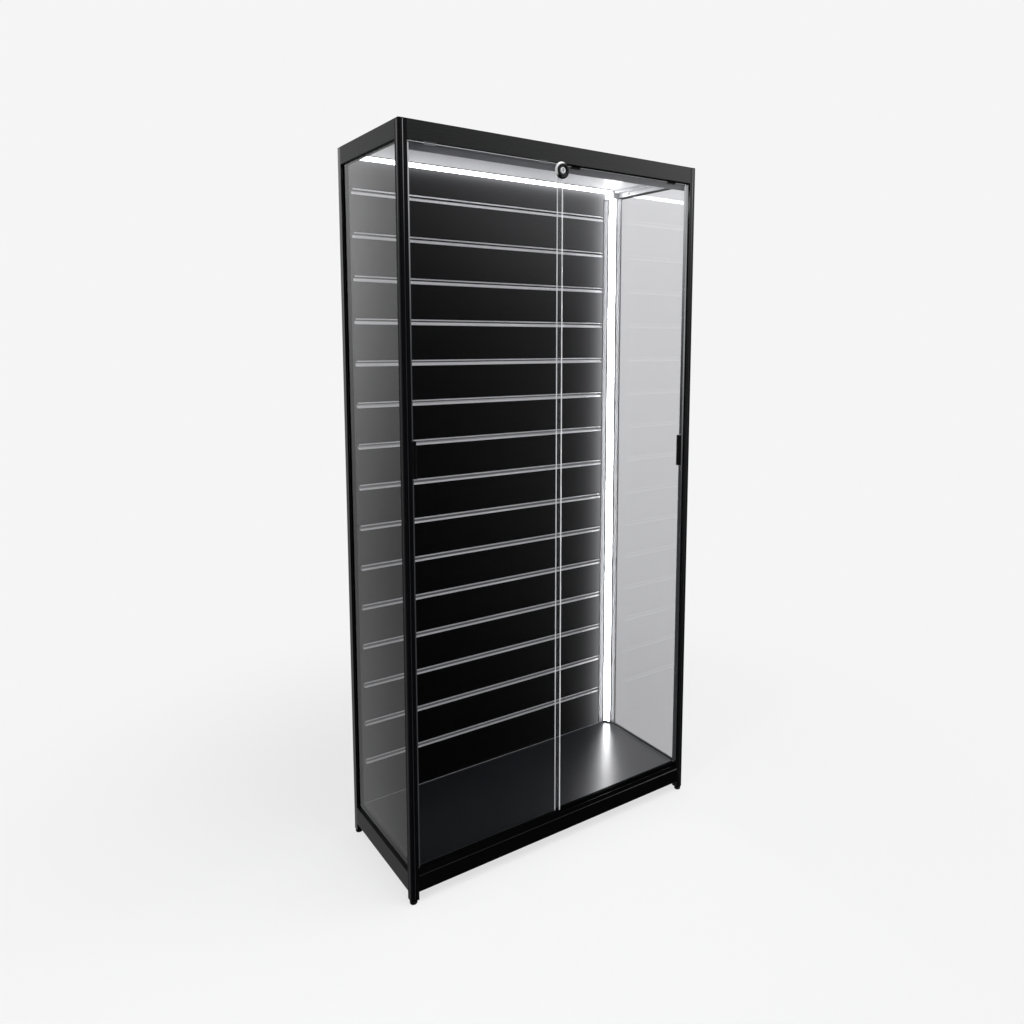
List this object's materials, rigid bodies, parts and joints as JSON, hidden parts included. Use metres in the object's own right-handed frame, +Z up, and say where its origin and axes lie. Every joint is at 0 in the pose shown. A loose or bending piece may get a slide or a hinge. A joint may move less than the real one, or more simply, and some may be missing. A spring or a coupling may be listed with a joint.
{
  "type": "glass display cabinet",
  "caption": "Tall black-framed glass display cabinet with sliding glass doors, slatwall back, corner and top strip lamps, a cylinder lock and levelling feet.",
  "frame": {"origin": "middle of the cabinet's footprint at floor level, with the lock that stands proud of the front counted in the depth", "axes": "+Z up, +X to the right seen from the front, +Y from the doors to the slatwall back"},
  "size_m": [0.96, 0.41, 1.98],
  "materials": {
    "black_extrusion": "satin black anodised",
    "black_laminate": "satin black laminate on board",
    "pale_laminate": "satin white laminate on board",
    "liner_aluminium": "satin anodised",
    "clear_glass": "clear, polished edges",
    "black_rubber": "matt",
    "black_plastic": "satin moulded",
    "black_shoe": "satin black anodised",
    "grey_plastic": "satin moulded",
    "nylon": "smooth moulded",
    "lamp_lens": "opal, lit from behind",
    "chrome": "polished",
    "satin_steel": "satin"
  },
  "bodies": {
    "cabinet": {"post_front_left": "black_extrusion", "post_front_right": "black_extrusion", "post_rear_left": "black_extrusion", "post_rear_right": "black_extrusion", "base_front": "black_extrusion", "base_rear": "black_extrusion", "base_left": "black_extrusion", "base_right": "black_extrusion", "fascia_front": "black_extrusion", "fascia_rear": "black_extrusion", "fascia_left": "black_extrusion", "fascia_right": "black_extrusion", "side_bead_left": "black_extrusion", "side_bead_right": "black_extrusion", "bottom_track": "black_extrusion", "top_track": "black_extrusion", "roof_panel": "black_laminate", "deck_panel": "black_laminate", "slatwall_board": "black_laminate", "ceiling_panel": "pale_laminate", "slat_liners": "liner_aluminium", "top_lamp_channel": "liner_aluminium", "corner_lamp_channel": "liner_aluminium", "ceiling_bearer_left": "liner_aluminium", "ceiling_bearer_right": "liner_aluminium", "side_glass_left": "clear_glass", "side_glass_right": "clear_glass", "side_gasket_left": "black_rubber", "side_gasket_right": "black_rubber", "track_buffers": "black_rubber", "cable_outlet": "black_rubber", "foot_plugs": "black_plastic", "corner_lamp_cap": "black_plastic", "lamp_corner_block": "grey_plastic", "top_lamp_lens": "lamp_lens", "corner_lamp_lens": "lamp_lens"},
    "left_door": {"left_door_glass": "clear_glass", "left_door_shoe": "black_shoe", "left_door_guides": "nylon", "left_door_pull": "black_plastic", "lock_body": "chrome", "lock_ring": "black_plastic", "lock_clamp": "black_plastic"},
    "right_door": {"right_door_glass": "clear_glass", "right_door_shoe": "black_shoe", "right_door_guides": "nylon", "right_door_pull": "black_plastic"},
    "lock_plug": {"lock_plug": "satin_steel"},
    "left_door_roller_1": {"left_door_roller_1": "nylon"},
    "left_door_roller_2": {"left_door_roller_2": "nylon"},
    "right_door_roller_1": {"right_door_roller_1": "nylon"},
    "right_door_roller_2": {"right_door_roller_2": "nylon"},
    "foot_pad_front_left": {"foot_pad_front_left": "black_rubber"},
    "foot_stud_front_left": {"foot_stud_front_left": "satin_steel"},
    "foot_pad_front_right": {"foot_pad_front_right": "black_rubber"},
    "foot_stud_front_right": {"foot_stud_front_right": "satin_steel"},
    "foot_pad_rear_left": {"foot_pad_rear_left": "black_rubber"},
    "foot_stud_rear_left": {"foot_stud_rear_left": "satin_steel"},
    "foot_pad_rear_right": {"foot_pad_rear_right": "black_rubber"},
    "foot_stud_rear_right": {"foot_stud_rear_right": "satin_steel"}
  },
  "joints": [
    {"name": "left_door_slide", "type": "slide", "parent": "cabinet", "child": "left_door", "axis": [1, 0, 0], "range_m": [0, 0.461]},
    {"name": "right_door_slide", "type": "slide", "parent": "cabinet", "child": "right_door", "axis": [-1, 0, 0], "range_m": [0, 0.438]},
    {"name": "lock_plug_turn", "type": "hinge", "parent": "left_door", "child": "lock_plug", "pos_m": [-0.014, -0.1905, 1.914], "axis": [0, -1, 0], "range_deg": [0, 90]},
    {"name": "left_door_roller_1_spin", "type": "hinge", "parent": "left_door", "child": "left_door_roller_1", "pos_m": [-0.4105, -0.188, 0.08722], "axis": [0, 1, 0], "range_deg": [0, 8270]},
    {"name": "left_door_roller_2_spin", "type": "hinge", "parent": "left_door", "child": "left_door_roller_2", "pos_m": [-0.051, -0.188, 0.08722], "axis": [0, 1, 0], "range_deg": [0, 8270]},
    {"name": "right_door_roller_1_spin", "type": "hinge", "parent": "right_door", "child": "right_door_roller_1", "pos_m": [0.028, -0.179, 0.08722], "axis": [0, -1, 0], "range_deg": [0, 7860]},
    {"name": "right_door_roller_2_spin", "type": "hinge", "parent": "right_door", "child": "right_door_roller_2", "pos_m": [0.4105, -0.179, 0.08722], "axis": [0, -1, 0], "range_deg": [0, 7860]},
    {"name": "foot_front_left_level", "type": "slide", "parent": "cabinet", "child": "foot_pad_front_left", "axis": [0, 0, -1], "range_m": [0, 0.012]},
    {"name": "foot_front_left_screw", "type": "hinge", "parent": "foot_pad_front_left", "child": "foot_stud_front_left", "pos_m": [-0.47, -0.185, 0.011], "axis": [0, 0, -1], "range_deg": [0, 3470]},
    {"name": "foot_front_right_level", "type": "slide", "parent": "cabinet", "child": "foot_pad_front_right", "axis": [0, 0, -1], "range_m": [0, 0.012]},
    {"name": "foot_front_right_screw", "type": "hinge", "parent": "foot_pad_front_right", "child": "foot_stud_front_right", "pos_m": [0.47, -0.185, 0.011], "axis": [0, 0, -1], "range_deg": [0, 3470]},
    {"name": "foot_rear_left_level", "type": "slide", "parent": "cabinet", "child": "foot_pad_rear_left", "axis": [0, 0, -1], "range_m": [0, 0.012]},
    {"name": "foot_rear_left_screw", "type": "hinge", "parent": "foot_pad_rear_left", "child": "foot_stud_rear_left", "pos_m": [-0.47, 0.195, 0.011], "axis": [0, 0, -1], "range_deg": [0, 3470]},
    {"name": "foot_rear_right_level", "type": "slide", "parent": "cabinet", "child": "foot_pad_rear_right", "axis": [0, 0, -1], "range_m": [0, 0.012]},
    {"name": "foot_rear_right_screw", "type": "hinge", "parent": "foot_pad_rear_right", "child": "foot_stud_rear_right", "pos_m": [0.47, 0.195, 0.011], "axis": [0, 0, -1], "range_deg": [0, 3470]}
  ],
  "couplings": [
    {"joint": "left_door_roller_1_spin", "follows": "left_door_slide", "rad_per_m": 312.5},
    {"joint": "left_door_roller_2_spin", "follows": "left_door_slide", "rad_per_m": 312.5},
    {"joint": "right_door_roller_1_spin", "follows": "right_door_slide", "rad_per_m": 312.5},
    {"joint": "right_door_roller_2_spin", "follows": "right_door_slide", "rad_per_m": 312.5},
    {"joint": "foot_front_left_screw", "follows": "foot_front_left_level", "rad_per_m": 5026.5},
    {"joint": "foot_front_right_screw", "follows": "foot_front_right_level", "rad_per_m": 5026.5},
    {"joint": "foot_rear_left_screw", "follows": "foot_rear_left_level", "rad_per_m": 5026.5},
    {"joint": "foot_rear_right_screw", "follows": "foot_rear_right_level", "rad_per_m": 5026.5}
  ]
}
